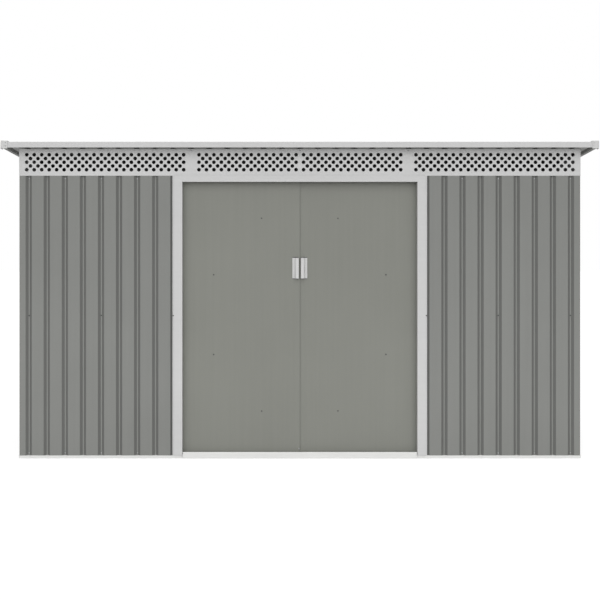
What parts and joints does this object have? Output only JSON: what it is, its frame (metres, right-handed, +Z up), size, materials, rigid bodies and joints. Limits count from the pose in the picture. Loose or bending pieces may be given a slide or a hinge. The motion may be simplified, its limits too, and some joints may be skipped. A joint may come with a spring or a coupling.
{
  "type": "metal storage shed",
  "caption": "Wide pent-roof garden shed of ribbed grey steel sheet with a pale frame, a perforated vent strip under the eave and a pair of sliding doors in the middle of the front.",
  "frame": {"origin": "on the ground, under the middle of the roof", "axes": "+X to the right of the front, -Y out of the front, +Z up"},
  "size_m": [3.4, 1.3058, 1.8185],
  "materials": {
    "wall_paint": "satin grey coil coating",
    "door_paint": "satin grey coil coating",
    "roof_paint": "satin grey coil coating",
    "trim_paint": "satin pale grey coating",
    "base_paint": "satin white grey coating",
    "galvanised": "galvanised",
    "handle_plastic": "moulded, fine grain",
    "cap_plastic": "moulded, fine grain",
    "slider_plastic": "moulded nylon"
  },
  "bodies": {
    "shed": {"front_wall_left": "wall_paint", "front_wall_right": "wall_paint", "left_wall": "wall_paint", "right_wall": "wall_paint", "back_wall_left": "wall_paint", "back_wall_right": "wall_paint", "roof_sheet_1": "roof_paint", "roof_sheet_2": "roof_paint", "roof_sheet_3": "roof_paint", "roof_sheet_4": "roof_paint", "vent_panel_1": "trim_paint", "vent_panel_2": "trim_paint", "vent_panel_3": "trim_paint", "vent_panel_4": "trim_paint", "left_gable_strip": "trim_paint", "right_gable_strip": "trim_paint", "back_top_strip": "trim_paint", "door_jamb_left": "trim_paint", "door_jamb_right": "trim_paint", "door_lintel": "trim_paint", "roof_fascia_front": "trim_paint", "roof_fascia_back": "trim_paint", "roof_trim_left": "trim_paint", "roof_trim_right": "trim_paint", "base_rail_front": "base_paint", "base_rail_back": "base_paint", "base_rail_left": "base_paint", "base_rail_right": "base_paint", "door_threshold": "base_paint", "corner_posts": "galvanised", "wall_top_rails": "galvanised", "wall_mid_rails": "galvanised", "door_track": "galvanised", "roof_beam": "galvanised", "roof_corner_caps": "cap_plastic"},
    "left_door": {"left_door_panel": "door_paint", "left_door_edges": "door_paint", "left_door_braces": "galvanised", "left_door_handle": "handle_plastic", "left_door_sliders": "slider_plastic"},
    "right_door": {"right_door_panel": "door_paint", "right_door_edges": "door_paint", "right_door_braces": "galvanised", "right_door_handle": "handle_plastic", "right_door_sliders": "slider_plastic"}
  },
  "joints": [
    {"name": "left_door_slide", "type": "slide", "parent": "shed", "child": "left_door", "axis": [-1, 0, 0], "range_m": [0, 0.62]},
    {"name": "right_door_slide", "type": "slide", "parent": "shed", "child": "right_door", "axis": [1, 0, 0], "range_m": [0, 0.62]}
  ]
}
